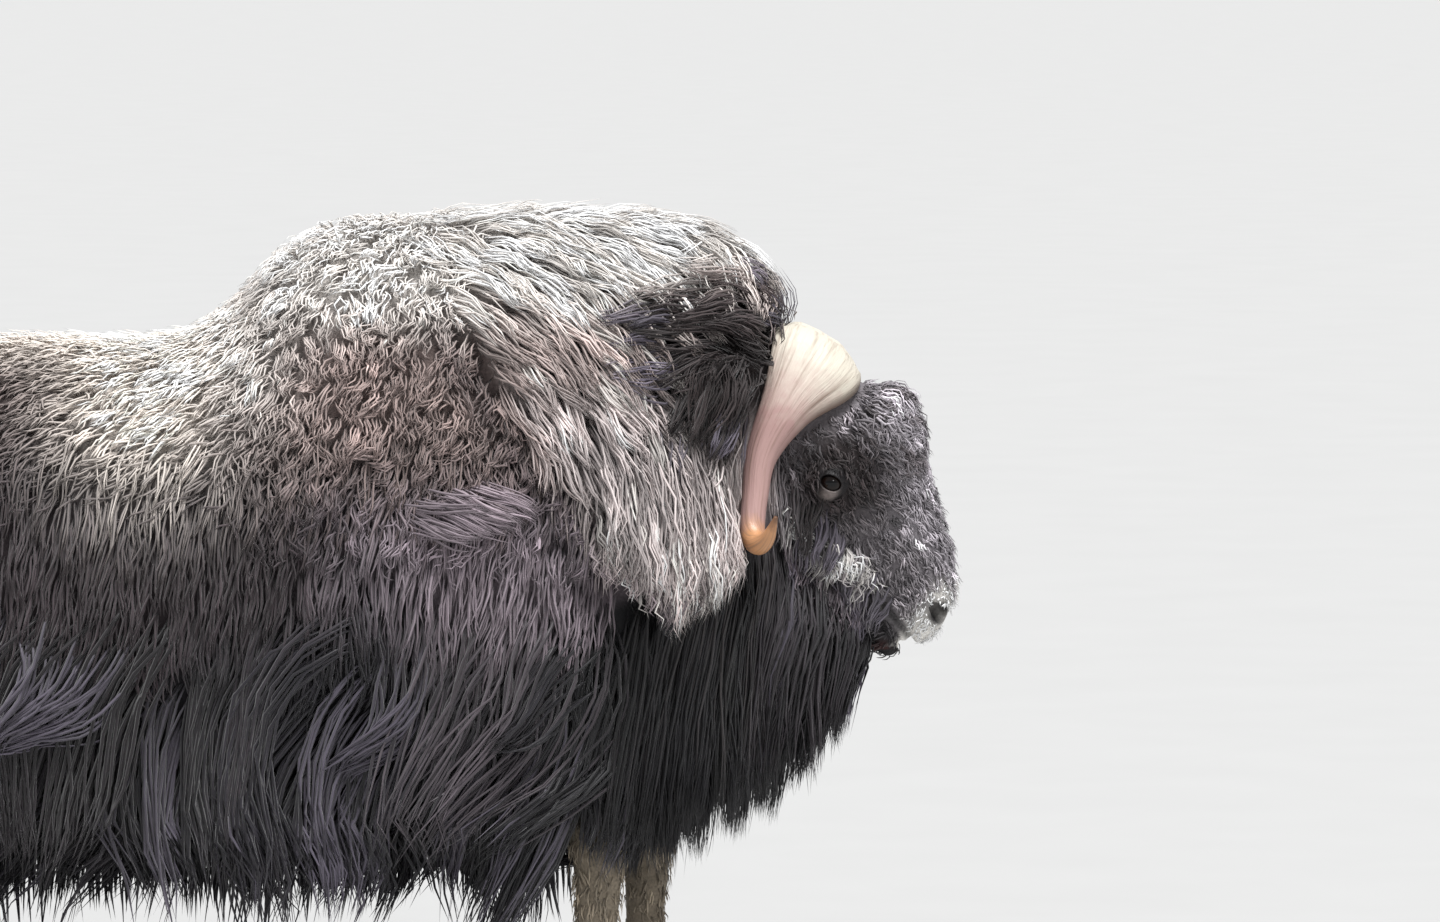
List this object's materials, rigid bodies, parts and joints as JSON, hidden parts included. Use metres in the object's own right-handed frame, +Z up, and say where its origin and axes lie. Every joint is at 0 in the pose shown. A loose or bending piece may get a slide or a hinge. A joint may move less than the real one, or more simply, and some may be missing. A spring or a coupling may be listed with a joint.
{
  "type": "muskox",
  "caption": "Life-size standing muskox in full winter coat: pale saddle, humped shoulders with a mane, curved horns on a broad boss, and a long hanging skirt of hair.",
  "frame": {"origin": "middle of the bounding box's underside, on the floor", "axes": "+X towards the head, +Y to the animal's left, +Z up"},
  "size_m": [2.1024, 0.7522, 1.3814],
  "materials": {
    "saddle_coat": "dense pale wool",
    "dark_coat": "long dark guard hair",
    "mane_coat": "curly brown wool",
    "leg_hair": "short pale hair",
    "horn": "satin horn",
    "hoof": "worn horn",
    "eye": "wet and glossy"
  },
  "bodies": {
    "root": {"rump": "dark_coat", "barrel": "saddle_coat", "shoulders": "mane_coat", "neck": "mane_coat", "head": "dark_coat", "tail": "dark_coat", "horn_right": "horn", "ear_right": "mane_coat", "eye_right": "eye", "foreleg_right": "leg_hair", "fore_hoof_right": "hoof", "hind_leg_right": "leg_hair", "hind_hoof_right": "hoof", "horn_left": "horn", "ear_left": "mane_coat", "eye_left": "eye", "foreleg_left": "leg_hair", "fore_hoof_left": "hoof", "hind_leg_left": "leg_hair", "hind_hoof_left": "hoof"}
  },
  "joints": []
}
